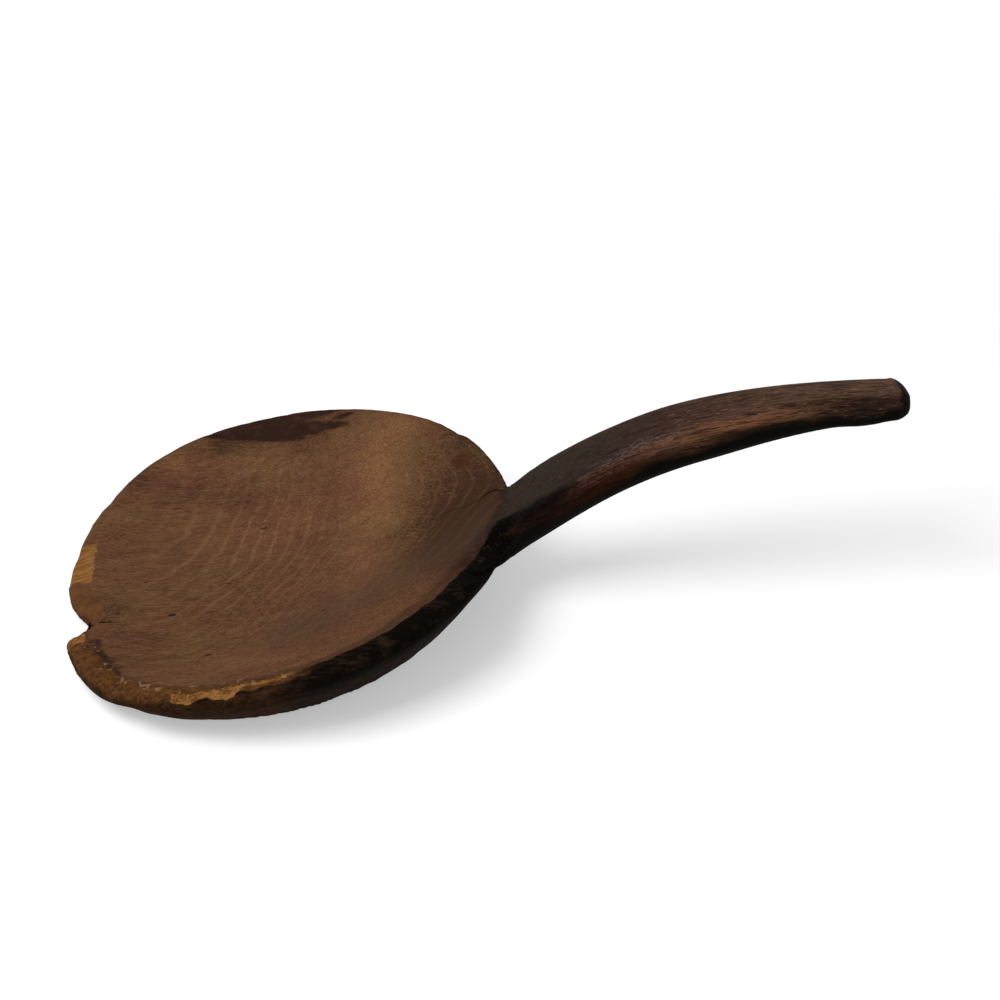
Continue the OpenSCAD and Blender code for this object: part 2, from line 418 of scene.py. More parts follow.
class Rim:
    """The rim's ridge, found on the skin: its radius and height by direction round the blade's centre."""

    def __init__(self, points, normals):
        direction = np.degrees(np.arctan2(points[:, 1], points[:, 0]))
        upper = (normals[:, 2] > RIM_UP) & (points[:, 0] < SEAM)
        self.steps = np.arange(-180, 180, RIM_STEP)
        tops = []
        for step in self.steps:
            away = np.abs((direction - step + 180) % 360 - 180)
            near = points[upper & (away < RIM_STEP / 2)]
            away = np.hypot(near[:, 0], near[:, 1])
            outer = near[away > RIM_INNER * away.max()]
            ridge = np.hypot(*outer[outer[:, 2].argmax(), :2]) - np.interp(step, *zip(*RIDGE_IN))
            tops.append(near[np.abs(away - ridge).argmin()])
        tops = np.array(tops)
        self.radius = self.even(np.hypot(tops[:, 0], tops[:, 1]))
        self.height = self.even(tops[:, 2])

    @staticmethod
    def even(values):
        return (np.roll(values, 1) + 2 * values + np.roll(values, -1)) / 4

    def at(self, direction):
        return [np.interp(direction, self.steps, row, period=360) for row in (self.radius, self.height)]


class Places:
    """Where each point of the skin lies on the paddle."""

    def __init__(self, points, normals, rim):
        self.points, self.normals = points, normals
        self.x, self.y, self.z = points.T
        self.nx, self.ny, self.nz = normals.T
        self.flat = points[:, :2]
        self.direction = np.degrees(np.arctan2(self.y, self.x))
        self.radius = np.hypot(self.x, self.y)
        ridge_radius, self.ridge_height = rim.at(self.direction)
        self.out = self.radius - ridge_radius
        self.drop = self.ridge_height - self.z
        self.on_blade = self.x < SEAM
        self.upper = normals[:, 2] > 0
        # Distance from the ridge: below 0 on the floor, above 0 on the lip and the outer wall
        inside = self.upper & (self.out < 0)
        self.rim = np.where(inside, self.out, np.hypot(self.out, self.drop))
        self.floor = self.on_blade & inside
        self.along = (self.x - SEAM) / (END - SEAM)

    def noise(self, size, seed):
        return noise(self.points, size, seed)

    def rough(self, size, seed, octaves=3):
        return rough(self.points, size, seed, octaves)

    def towards(self, direction):
        """Degrees from a direction."""
        return np.abs((self.direction - direction + 180) % 360 - 180)

    def between(self, start, end, soft):
        """1 between two directions, falling to 0 over soft degrees outside them."""
        middle, half = (start + end) / 2, abs(end - start) / 2
        return ramp(self.towards(middle), half + soft, half)

    def spot(self, x, y, long, wide):
        """1 at a place in plan, fading round it over long and wide."""
        return np.exp(-((self.x - x) / long) ** 2 - ((self.y - y) / wide) ** 2)

    def from_neck(self, path):
        return path_distance(self.flat, [(SEAM - back, across) for back, across in path])

    def from_tip(self, path):
        return path_distance(self.flat, [(TIP + back, across) for back, across in path])


# Carving: each of these says how far it cuts below the skin

def facets(u, v, cuts, seed):
    depth, *size = cuts
    return np.abs(noise(np.c_[u, v, 0 * u], (*size, 1), seed)) * depth


def knife_cuts(p):
    """Long shallow facets: round the outer wall, along the floor and along the handle."""
    wall = facets(np.radians(p.direction) * HALF_WIDTH, p.z, WALL_CUTS, 3)
    floor = facets(p.x, p.y, FLOOR_CUTS, 4)
    turn = np.arctan2(p.nz, p.ny) * GRIP_RADIUS
    grip = facets(p.x, turn, GRIP_CUTS, 5)
    outer = p.on_blade * ramp(p.rim, 1, 5)
    return outer * wall + p.floor * ramp(p.rim, -1, -5) * floor + ~p.on_blade * grip


def waves(p):
    depth, width = WAVES
    return depth * (0.5 + 0.5 * p.noise(width, 9))


def neck_crack(p):
    far, share = p.from_neck(NECK_CRACK)
    far = far + 0.12 * p.noise(2.2, 12)
    width = NECK_CRACK_WIDTH * (1 - 0.78 * ramp(share, 0, 0.75)) * (1 + 0.35 * p.noise(3, 13))
    return ramp(far, width, 0.15 * width) * (1 - share ** 2) * NECK_CRACK_DEPTH * p.floor


def tip_crack(p):
    depth = np.zeros(len(p.x))
    for path in TIP_CRACKS:
        far, share = p.from_tip(path)
        far = far + 0.2 * p.noise(2, 14)
        depth = np.maximum(depth, ramp(far, TIP_CRACK_WIDTH, 0.05) * (1 - share ** 2))
    return depth * TIP_CRACK_DEPTH * p.upper * p.on_blade


def pits(p):
    total = np.zeros(len(p.x))
    for x, y, length, width in PITS:
        far = np.hypot((p.x - x) / length, (p.y - y) / width) * 2 + 0.25 * p.noise(1, 15)
        total += ramp(far, 1, 0.2)
    return total * p.floor * PIT_DEPTH


def knot(p):
    x, y, radius = KNOT
    far = np.hypot(p.x - x, p.y - y) / radius
    return KNOT_DEPTH * ramp(far, 1.1, 0.7) * p.floor


def rim_chips(p):
    """Small bites out of the ridge, most of them on the worn front left."""
    worn = 0.15 + 0.75 * p.between(*LOBE, 8) + 0.5 * p.between(*RUBBED, 6)
    near = span(p.rim, -1.2, 3.5, 1.6) * p.on_blade
    bite = ramp(p.rough(3.4, 21, 2), 0.12, 0.55)
    nibble = ramp(p.noise(1.5, 22), 0.25, 0.7)
    return near * worn * (BITE_DEPTH * bite + NIBBLE_DEPTH * nibble)


def rubbed_flat(p):
    """The lip worn flat where the paddle was scraped along a bowl."""
    near = p.between(*RUBBED, 5) * span(p.rim, 1.5, 7.5, 2.5)
    return near * p.on_blade * (RUBBED_DEPTH + 0.25 * p.rough(4, 23, 2))


def back_cut_edge(p):
    """How far across the lower edge of the cut at the back lies."""
    (x0, y0), (x1, y1) = BACK_CUT
    return y0 + (y1 - y0) * (p.x - x0) / (x1 - x0)


def back_cut(p):
    """A flat cut inside the rim: the floor is lowered towards the foot of a steeper face."""
    ahead = p.y - back_cut_edge(p)
    along = span(p.x, BACK_CUT[0][0] + 5, BACK_CUT_END - 4, 7)
    step = ramp(ahead, -9, 0) * ramp(ahead, 6.5, 0.3)
    return BACK_CUT_DEPTH * along * step * p.floor


def nick(p):
    direction, half, depth = NICK
    return depth * ramp(p.towards(direction), half, 0.8) ** 0.8 * span(p.rim, -1, 4, 2) * p.on_blade


def bitten_corner(p):
    direction, half, depth = BITTEN
    near = ramp(p.towards(direction), half, half * 0.4) * span(p.rim, -1.5, 3, 2.5) * p.on_blade
    return depth * near * (0.35 + 0.65 * clamp(0.5 + p.rough(2.2, 25)))


def fuller_edges(p):
    """Gives back what rounding took from the tip's lip, from under the grip and from the handle's end."""
    tip = TIP_FULLER * p.between(*TIP_LIP, 10) * ramp(p.rim, 0.8, 3) * p.on_blade
    grip = eased(p.along, GRIP_UNDERSIDE, 0.04) * ramp(p.along, -0.07, -0.02)
    grip = grip * ramp(-p.nz, -0.2, 0.5)
    end = END_FULLER * span(p.nx, 0.3, 0.75, 0.25) * ramp(p.along, 0.92, 0.96)
    return -tip - grip - end


def foot_edge(p):
    """The foot's edge worn round along the front."""
    wall = ramp(p.nz, -0.985, -0.93)
    return FOOT_EDGE_DEPTH * p.between(*FOOT_EDGE, 15) * ramp(p.z, FOOT_EDGE_HEIGHT, 0.3) * wall * p.on_blade


CARVING = (fuller_edges, knife_cuts, waves, neck_crack, tip_crack, pits, knot, rim_chips, rubbed_flat,
           back_cut, nick, bitten_corner, foot_edge)


def shift_rim(p, points):
    """The rim's uneven line in plan."""
    share = ramp(p.rim, -7, -1) * ramp(p.drop, 16, 6) * p.on_blade * eased(p.direction, RIM_LINE, 4)
    points[:, :2] += (share / np.maximum(p.radius, 1))[:, None] * p.flat


def chip_places(p):
    """How far points lie past the chip's inner edge, and 1 between its ends."""
    frayed = 0.9 * p.noise((5, 0.7, 0.7), 43) + 0.5 * p.noise((5, 3, 3), 56)
    across = p.y + 0.5 * p.noise(3, 31)
    start, end = CHIP_ACROSS
    within = ramp(across, start - 0.6, start + 0.4) * ramp(across, end + 0.8, end - 0.6)
    return TIP + CHIP_BACK + CHIP_SLANT * (end - p.y) + frayed - p.x, within


def split_chip(p, points):
    """The splinter lost from the tip: its break falls away from a straight line across the floor."""
    inside, within = chip_places(p)
    grooves = 0.12 * p.noise((6, 0.8, 6), 32)
    top = p.ridge_height - CHIP_DEPTH - CHIP_SLOPE * inside + grooves
    lost = within * np.maximum(points[:, 2] - top, 0)
    points[:, 2] -= np.where(inside > 0, lost, 0)


class NeckLine:
    """The edge line at the front of the neck: how far points lie from it and below it."""

    def __init__(self, p):
        line = np.array([(SEAM + past, across) for past, across in NECK_EDGE])
        self.far, self.share = path_distance(p.flat, line)
        self.before = (p.y < np.interp(p.x, *line.T)) & (p.x > line[0, 0]) & (p.x < line[-1, 0])
        upper = p.points[p.upper]
        heights = [upper[np.hypot(*(upper[:, :2] - at).T).argmin(), 2] for at in line]
        lengths = np.concatenate([[0], np.cumsum(np.hypot(*np.diff(line, axis=0).T))])
        self.height = np.interp(self.share, lengths / lengths[-1], heights)
        self.below = self.before * np.hypot(self.far, np.maximum(self.height - p.z, 0))


def cut_neck(p, points):
    """The facet before the neck's edge: the surface falls away from the edge towards the front."""
    edge = NeckLine(p)
    fall = NECK_FALL * span(edge.share, *NECK_FACET, 0.22)
    above = points[:, 2] - (edge.height - fall * edge.far + 0.3 * p.rough(3, 35, 2) * clamp(edge.far))
    inward = p.normals * (1, 1, 0) + np.outer(np.maximum(p.nz, 0), (0, 0, 1))
    inward /= np.maximum(np.linalg.norm(inward, axis=1, keepdims=True), 0.1)
    rate = inward[:, 2] + fall * np.hypot(inward[:, 0], inward[:, 1])
    depth = np.where(edge.before & (above > 0) & (fall > 0), above / np.maximum(rate, 0.3), 0)
    points -= np.minimum(depth, NECK_CUT_MOST)[:, None] * inward


def wear_notch(p, points):
    """The notch is worn through from above, with a slope down to its edge."""
    back, across = np.array(NOTCH).T
    deep = np.interp(p.y, across, back)
    near = (p.x < 0) & (p.y > across[0]) & (p.y < across[-1])
    edge = TIP + deep + 0.15 * p.noise(1.5, 33)
    points[:, 0] = np.where(near, np.maximum(points[:, 0], edge), points[:, 0])
    far, _ = p.from_tip(NOTCH)
    middle = across[back.argmax()]
    rise = blend(NOTCH_RISE_LOW, NOTCH_RISE, ramp(p.y, middle - 4, middle + 2))
    low = blend(NOTCH_END, NOTCH_EDGE, clamp(deep / back.max()))
    uneven = 0.35 * p.rough(3, 34, 2) * clamp(far / 2)
    top = low + rise * far + uneven + NOTCH_STOP_HEIGHT * ramp(p.y, *NOTCH_STOP)
    points[:, 2] = np.where(near & p.upper, np.minimum(points[:, 2], top - tip_crack(p)), points[:, 2])


def crack_places(p, reach):
    cracks = [p.from_neck(NECK_CRACK)] + [p.from_tip(path) for path in TIP_CRACKS]
    return p.upper & np.any([far < reach for far, _ in cracks], axis=0)


def fine_places(p):
    """Where the grid is halved: along the cracks, on the rim's worn lip, and by the nick, pits and knot."""
    crack = crack_places(p, 2 * CRACK_REACH)
    worn = sum(p.between(*ends, 1) for ends in FINE_LIPS) + (p.towards(BITTEN[0]) < BITTEN[1])
    lip = (worn > 0) & (p.rim > FINE_RIM[0]) & (p.rim < FINE_RIM[1])
    nicked = (p.towards(NICK[0]) < NICK[1] + 1) & (np.abs(p.rim) < 4)
    spots = [np.hypot(p.x - x, p.y - y) < 2 + length for x, y, length, *_ in PITS]
    knotted = np.hypot(p.x - KNOT[0], p.y - KNOT[1]) < 2 * KNOT[2]
    return p.on_blade & (crack | lip | nicked | np.any(spots, axis=0) & p.floor | knotted & p.floor)


def refine(mesh, fine):
    """Halves the grid between the points that are marked."""
    grid = bmesh.new()
    grid.from_mesh(mesh)
    grid.verts.ensure_lookup_table()
    edges = [e for e in grid.edges if fine[e.verts[0].index] and fine[e.verts[1].index]]
    bmesh.ops.subdivide_edges(grid, edges=edges, cuts=1, use_grid_fill=True)
    grid.to_mesh(mesh)
    grid.free()
    mesh.update()


def look(mesh, rim):
    return Places(points_of(mesh), normals_of(mesh), rim)


def carved_skin():
    """The whole paddle's skin with everything cut into it, and where its points lie."""
    mesh = even_skin()
    relax(mesh, [RELAX, RELAX_BACK] * RELAX_PASSES)
    rim = Rim(points_of(mesh), normals_of(mesh))
    p = look(mesh, rim)
    relax(mesh, [RELAX] * FLOOR_PASSES, p.floor * ramp(p.rim, *FLOOR_INSIDE))
    hollow = ramp(np.abs(p.x - SEAM + 1), NECK_REACH, NECK_REACH / 3)
    relax(mesh, [RELAX] * NECK_PASSES, hollow * ramp(p.y, *NECK_ACROSS) * ramp(p.z, *NECK_HEIGHT))
    refine(mesh, fine_places(look(mesh, rim)))
    refine(mesh, crack_places(look(mesh, rim), CRACK_REACH))
    p = look(mesh, rim)
    depth = sum(cut(p) for cut in CARVING)
    points = p.points - depth[:, None] * p.normals
    shift_rim(p, points)
    split_chip(p, points)
    wear_notch(p, points)
    cut_neck(p, points)
    low, high = (np.array(corner) / MM for corner in cad_box)
    set_points(mesh, np.clip(points, low, high))
    return mesh, p


# Looks: shares from 0 to 1 for each point, which the wood's material reads

def grip_start(p):
    """How far a point lies past the line where the handle's surface starts."""
    return p.x - SEAM + GRIP_BACK - GRIP_SLANT * p.y


def patina(p):
    """Dark old surface: the outer wall, the underside and the handle."""
    ragged = 0.4 * p.rough(4, 41)
    clean = sum(width * p.between(*ends) for *ends, width in CLEAN_LIP)
    outer = ramp(p.rim - clean + ragged, 0, 1.1)
    neck = ramp(grip_start(p) + 2.5 * p.rough((8, 3, 3), 46), -4, 3)
    facet = ramp(NeckLine(p).below + ragged, 0.1, 0.9)
    return np.where(p.on_blade, np.maximum(np.maximum(outer, neck), facet), 1)


def grip(p):
    """The handle's surface, with the part of it that lies on the blade."""
    return ramp(grip_start(p), -6, 3) * np.where(p.on_blade, ramp(p.y, -17, -12), 1)


def scuff(p):
    """Brown, rubbed lip from the tip round to the front, fading down the wall."""
    reach = blend(*SCUFF_REACH, ramp(p.direction, *SCUFF_NARROWS))
    lip = span(p.rim + p.rough(5, 47), 0.2, reach, 0.8 * reach)
    first, last = SCUFFED
    ends = ramp(p.direction, first - 4, first) * ramp(p.direction, last + 20, last)
    return clamp(lip + 0.38 * ramp(p.rim, reach, reach + 3)) * ends * p.on_blade


def ochre(p):
    """Warm worn wood: the slope above the notch, the pale slope below it and the lip beside it."""
    far, _ = p.from_tip(NOTCH)
    slope = ramp(far + 2.5 * p.rough(4, 50), 6, 1) * (p.x < 0) * ramp(p.y, -19, -16)
    far, _ = p.from_tip(NOTCH_PALE)
    pale = ramp(far + 1.4 * p.rough((5, 2.5, 2.5), 62), 3, 1)
    lip = p.between(*OCHRE_LIP, 4) * span(p.rim + p.rough(4, 47), -0.5, 9, 1.5)
    return clamp(slope + lip + 0.8 * pale * p.upper) * p.on_blade


def worn(p):
    """Bare tan wood: the rubbed patch, crumbs of it along the scuffed lip, and the corner by the notch."""
    ragged = p.rough((6, 4, 2), 42)
    first, last = RUBBED
    turn = p.direction + 3 * p.rough(2.5, 55)
    inner = 1.5 * ramp(p.direction, first + 13, first + 2)
    reach = 1.4 + 3.9 * p.between(*RUBBED_WIDE, 4) - 1.5 * span(p.direction, *RUBBED_WAIST, 4)
    patch = span(turn, first, last, 1.5) * ramp(p.rim - reach + 1.3 * ragged, 0.8, -0.8)
    patch *= ramp(p.rim - inner + 0.9 * ragged, 0, 0.7)
    crumbs = p.between(*LOBE, 6) * span(p.rim, 0.3, 4, 1) * ramp(p.rough(2.6, 51, 2), 0.2, 0.5)
    back, across, radius = CORNER_PATCH
    far = np.hypot(p.x - TIP - back, p.y - across) + 1.6 * p.rough(2, 52)
    corner = ramp(far, radius, radius / 2) * (p.upper | (p.rim < 3))
    return clamp(patch + 0.45 * crumbs + corner) * p.on_blade


def fresh(p):
    """Bright wood in the break at the tip."""
    inside, within = chip_places(p)
    return within * ramp(inside, 0, 0.5) * ramp(p.rim, 8.5, 7) * p.on_blade


def stain(p):
    """Dark purple-brown wood: the cut at the back, and the floor inside the lobe, the front and the neck."""
    streaky = p.x + 20 * p.rough((60, 1.8, 1.8), 59, 2)
    ends = span(streaky, BACK_CUT[0][0] + 1, BACK_CUT_END - 3, 8)
    ahead = p.y - back_cut_edge(p) + 1.2 - 3.5 * ramp(p.x, 8, 20)
    cut = ramp(ahead + 0.6 * p.noise(5, 44), 0, 1.2) * ends
    lobe = p.between(*STAINED_LOBE, 3) * span(p.rim + 3 * p.rough(3, 45), -3.2, -0.4, 1.6)
    wide = ramp(p.direction, -75, -40)
    front = span(p.rim + (1 + wide) * p.rough(5, 53, 2), -1.2 - 2.5 * wide, 0.2, 1.5 + 2.5 * wide)
    front *= 0.5 * p.between(*STAINED_FRONT, 8)
    edge = NeckLine(p)
    neck = ramp(edge.far + 2 * p.rough(4, 63), 5, 1) * span(edge.share, *STAINED_NECK, 0.1)
    return clamp(cut + 0.85 * lobe + front + 0.6 * neck) * (p.floor | (p.rim < 2) & p.on_blade)


def specks(p):
    """Pale dents just inside the worn ridge, at the bitten corner and along the chip's inner edge."""
    ridge = p.between(*SPECKLED, 8) * span(p.rim, -2.2, 0.8, 0.8)
    direction, half, _ = BITTEN
    corner = ramp(p.towards(direction), half, 4) * span(p.rim, -1.5, 2.5, 1.5)
    inside, within = chip_places(p)
    frayed = within * span(inside, -0.5, 0.7, 0.5)
    return clamp(ridge + 0.12 * corner + frayed) * p.on_blade


def cracked(p):
    return clamp(1.2 * neck_crack(p) + 1.3 * tip_crack(p))


def pitted(p):
    return clamp(2.2 * pits(p))


def knotted(p):
    x, y, radius = KNOT
    far = np.hypot((p.x - x) / 1.15, p.y - y) / radius
    return ramp(far + 0.35 * p.rough(2.5, 48), 1.35, 0.4) * p.floor


def ringed(p):
    """Where the growth rings show: most in the middle of the floor and round the knot."""
    return clamp(RINGS_ELSEWHERE + sum(clear * p.spot(*place) for *place, clear in RINGS))


def grey(p):
    """Dry grey band from the neck along the front."""
    far, _ = path_distance(p.flat, GREY_BAND)
    return np.exp(-(far / GREY_WIDTH) ** 2) * p.floor


def low_wall(p):
    """Lower front wall, where the old surface is thinner."""
    return ramp(p.drop, *LOW_WALL_DROP) * p.between(*LOW_WALL, 12) * p.on_blade


def along(p):
    return clamp(p.along)


def handle_heights(p):
    """Lowest and highest places of the handle where each point is along it."""
    steps = np.arange(SEAM, END, LIFT_STEP)
    slices = [p.z[np.abs(p.x - step) < LIFT_STEP / 2] for step in steps]
    return [np.interp(p.x, steps, [edge(heights) for heights in slices]) for edge in (np.min, np.max)]


def lift(p):
    """Height of the handle's middle above the neck, in millimetres: its fibres partly follow it."""
    middle = sum(handle_heights(p)) / 2
    return FIBRE_FOLLOW * (middle - middle[p.x.argmin()])


def crown(p):
    """The handle's upper face."""
    lower = 0.2 * ramp(p.along, 0.5, 0.85)
    return ramp(np.abs(p.ny), 0.8 - lower, 0.45 - lower) * p.upper


def band(p):
    """Painted shade: black on the facet before the neck's edge."""
    edge = NeckLine(p)
    ragged = 2 * p.rough((8, 3, 3), 54)
    width = 14 - 8 * ramp(edge.share, 0.35, 0.6) - 4 * ramp(edge.share, 0.6, 1)
    below = np.where(edge.before, edge.below, -edge.far)
    start = ramp(below + 0.4 * ragged, -0.9 - 1.3 * ramp(edge.share, 0.5, 0.65), 1.2)
    last = SEAM + NECK_EDGE[-1][0]
    ends = ramp(edge.share, 0, 0.12) * ramp(p.x, last, last - 14) * (1 - 0.2 * ramp(edge.share, 0.55, 0.7))
    return start * ramp(below + ragged - width, 4.5, -3.5) * ends


def polish_and_painted_sheen(p):
    """Polished places, which also get a painted sheen: the handle's shoulders in the grip, and its end."""
    low, high = handle_heights(p)
    level = (p.z - low) / (high - low) + 0.05 * p.noise((9, 4, 4), 61)
    shoulder = ramp(np.abs(p.ny), 0.2, 0.45) * span(level, *POLISH_AND_SHEEN_LEVEL, 0.08)
    end = 0.1 * ramp(p.along, 0.93, 0.98)
    return clamp(0.55 * shoulder * span(p.along, *POLISH_AND_SHEEN, 0.1) + end) * ~p.on_blade


def black_end_and_heel_shade(p):
    """The handle's black end, and painted shade on the heel below it, where its faces look down."""
    edge = ramp(p.nx + 0.08 * p.noise(3, 49), 0.25, 0.5) * ramp(p.along, *END_BLACK)
    low = p.nz - 0.35 * ramp(p.along, 0.9, 0.96)
    heel = ramp(low + 0.15 * p.noise(4, 57), 0.05, -0.3) * ramp(p.along, *HEEL_SHADE)
    return np.maximum(edge, heel)


def under(p):
    """Painted shade on faces that look down, with less of it on the lower front wall."""
    down = 0.1 * p.noise((14, 4, 4), 58) - p.nz
    shifts = [shift * span(p.along, *ends) for *ends, shift in UNDER_SHIFTS]
    start = UNDER_START + sum(shifts)
    return ramp(down, start, start + 0.42) * (1 - 0.8 * low_wall(p))


def tone(p):
    """How much lighter or darker the floor is than its middle colour: a painted streak of light, and lighter
    and darker places.
    """
    far, share = path_distance(p.flat, PAINTED_LIGHT_PATH)
    far = far + p.rough((12, 3, 3), 60)
    streak = np.exp(-(far / blend(*PAINTED_LIGHT_WIDTH, share)) ** 2) * (1 - 0.25 * share)
    spots = sum(shift * p.spot(*place) for *place, shift in TONES)
    return (PAINTED_LIGHT_AMOUNT * streak + spots) * p.on_blade


LOOKS = (patina, lift, grip, scuff, ochre, worn, fresh, stain, specks, cracked, pitted, knotted, ringed, grey,
         along, low_wall, crown, band, polish_and_painted_sheen, black_end_and_heel_shade, under, tone)


# Materials

class Nodes:
    """Short ways to make a material's nodes."""

    def __init__(self, tree):
        self.tree = tree
        tree.nodes.clear()

    def add(self, kind, named=None, **settings):
        made = self.tree.nodes.new("ShaderNode" + kind)
        for name, value in settings.items():
            setattr(made, name, value)
        for name, value in (named or {}).items():
            self.give(made.inputs[name], value)
        return made

    def give(self, socket, value):
        if isinstance(value, bpy.types.NodeSocket):
            self.tree.links.new(value, socket)
        else:
            socket.default_value = value

    def math(self, operation, a, b=0.0, clamped=False):
        return self.add("Math", {0: a, 1: b}, operation=operation, use_clamp=clamped).outputs[0]

    def sum(self, *values):
        total = values[0]
        for value in values[1:]:
            total = self.math("ADD", total, value)
        return total

    def times(self, a, b):
        return self.math("MULTIPLY", a, b)

    def ramp(self, value, start, end, low=0.0, high=1.0):
        named = {"Value": value, "From Min": start, "From Max": end, "To Min": low, "To Max": high}
        return self.add("MapRange", named, interpolation_type="SMOOTHSTEP").outputs["Result"]

    def mix(self, share, a, b):
        made = self.add("Mix", data_type="RGBA")
        for index, value in ((0, share), (6, a), (7, b)):
            self.give(made.inputs[index], value)
        return made.outputs[2]

    def stretch(self, vector, x, y, z):
        """A place divided by a size on each axis."""
        named = {0: vector, 1: (1 / x, 1 / y, 1 / z)}
        return self.add("VectorMath", named, operation="MULTIPLY").outputs[0]

    def noise(self, vector, detail, roughness):
        named = {"Vector": vector, "Scale": 1.0, "Detail": detail, "Roughness": roughness}
        return self.add("TexNoise", named).outputs["Fac"]

    def about(self, value, width):
        """A value from 0 to 1 turned into one round 0, as wide as given."""
        return self.times(self.math("SUBTRACT", value, 0.5), width)

    def share(self, name):
        return self.add("Attribute", attribute_name=name).outputs["Fac"]


WOOD_DARK = rgb(60, 40, 29)
WOOD_MID = rgb(96, 65, 45)
WOOD_PALE = rgb(133, 94, 63)
WOOD_RED = rgb(90, 56, 38)
WOOD_DRY = rgb(105, 77, 54)
WOOD_GREY = rgb(72, 55, 43)
WOOD_ROSE = rgb(96, 61, 45)
WOOD_OLIVE = rgb(98, 72, 46)
RING_PALE = rgb(140, 106, 76)
PORE = rgb(50, 30, 20)
KNOT_BROWN = rgb(66, 38, 22)
PURPLE = rgb(38, 24, 21)
# Near-black of the old surface, also painted as shade on faces that look down
PATINA_AND_SHADE_BLACK = rgb(11, 8, 6)
PATINA_BROWN = rgb(43, 30, 22)
SCUFF_BROWN = rgb(95, 61, 32)
SCUFF_DARK = rgb(60, 37, 19)
OCHRE = rgb(102, 66, 38)
TAN = rgb(140, 97, 52)
TAN_DARK = rgb(92, 58, 28)
FRESH = rgb(138, 96, 54)
FRESH_DARK = rgb(108, 70, 34)
SPECK_PALE = rgb(130, 99, 77)
GRIP_NECK = rgb(47, 39, 33)
GRIP_MIDDLE = rgb(62, 43, 36)
GRIP_END = rgb(86, 63, 49)
GRIP_DARK = rgb(36, 24, 18)
SIDE_NECK = rgb(36, 16, 10)
SIDE_WARM = rgb(64, 29, 12)
SIDE_MIDDLE = rgb(114, 76, 53)
SIDE_END = rgb(45, 30, 22)
# Pale of the scratches, also used for the painted glints on the handle
SCRATCH_AND_GLINT = rgb(132, 98, 78)
# Pale colour of the painted sheen on the handle's polished shoulders
PAINTED_SHEEN = rgb(106, 84, 72)
BLACK = rgb(8, 6, 5)
BLADE_SHINE = 0.01
HANDLE_SHINE = 0.02
# Colours along the handle's upper face and its sides: from and to in shares of its length
GRIP_STEPS = [(0.1, 0.45, GRIP_MIDDLE), (0.35, 0.8, GRIP_END)]
SIDE_STEPS = [(0.1, 0.22, SIDE_WARM), (0.25, 0.48, SIDE_MIDDLE), (0.56, 0.86, SIDE_END)]


class Wood(Nodes):
    """Nodes of the old wood, with the grain that all its colours share."""

    def __init__(self, tree):
        super().__init__(tree)
        place = self.stretch(self.add("TexCoord").outputs["Object"], MM, MM, MM)
        rise = self.add("CombineXYZ", {"Z": self.share("lift")}).outputs[0]
        self.place = self.add("VectorMath", {0: place, 1: rise}, operation="SUBTRACT").outputs[0]
        self.along = self.share("along")
        self.streak = self.grain(26, 0.9, 4, 0.62)
        self.fine_streak = self.grain(7, 0.3, 3, 0.65)
        self.pores = self.ramp(self.grain(4, 0.4), 0.60, 0.70)
        self.mottle = self.grain(22, 12, 4, 0.6)
        self.patchy = self.grain(5, 3, 4, 0.65)
        self.speck = self.grain(1, 0.7, 3, 0.7)
        self.ragged = self.about(self.speck, 0.8)

    def grain(self, long, wide, detail=2, roughness=0.5, high=None):
        """Noise that runs along the paddle, with features of this size."""
        return self.noise(self.stretch(self.place, long, wide, high or wide), detail, roughness)

    def torn(self, name, amount, start, end, most=1):
        """One of the looks, with its edge made ragged."""
        return self.ramp(self.sum(self.share(name), self.times(self.ragged, amount)), start, end, 0, most)

    def two_tone(self, grain, patches, start, end, dark, pale):
        """Two colours that follow a grain, in patches."""
        return self.mix(self.ramp(self.sum(grain, self.about(self.patchy, patches)), start, end), dark, pale)

    def layers(self, colour, *shades):
        """A colour with others over it: share and colour of each."""
        for share, shade in shades:
            colour = self.mix(share, colour, shade)
        return colour

    def follow(self, colour, steps):
        """Colours that follow one another along the handle."""
        return self.layers(colour, *[(self.ramp(self.along, *ends), shade) for *ends, shade in steps])


def growth_rings(n):
    """Growth rings are tilted layers, bent a little: their pale lines, and their late wood."""
    x, y, z = n.add("SeparateXYZ", {0: n.place}).outputs
    bends = [n.about(n.grain(long, wide), far) for long, wide, far in RING_BENDS]
    layer = n.sum(z, n.times(x, RING_TILT[0]), n.times(y, RING_TILT[1]), *bends)
    ring = n.math("FRACT", n.times(layer, 1 / RING_WIDTH))
    shown = n.times(n.share("ringed"), n.ramp(n.mottle, 0.25, 0.6))
    pale = n.times(n.ramp(ring, 0.62, 0.88), n.ramp(ring, 1.0, 0.92))
    return n.times(pale, shown), n.times(n.ramp(ring, 0.1, 0.7), shown)


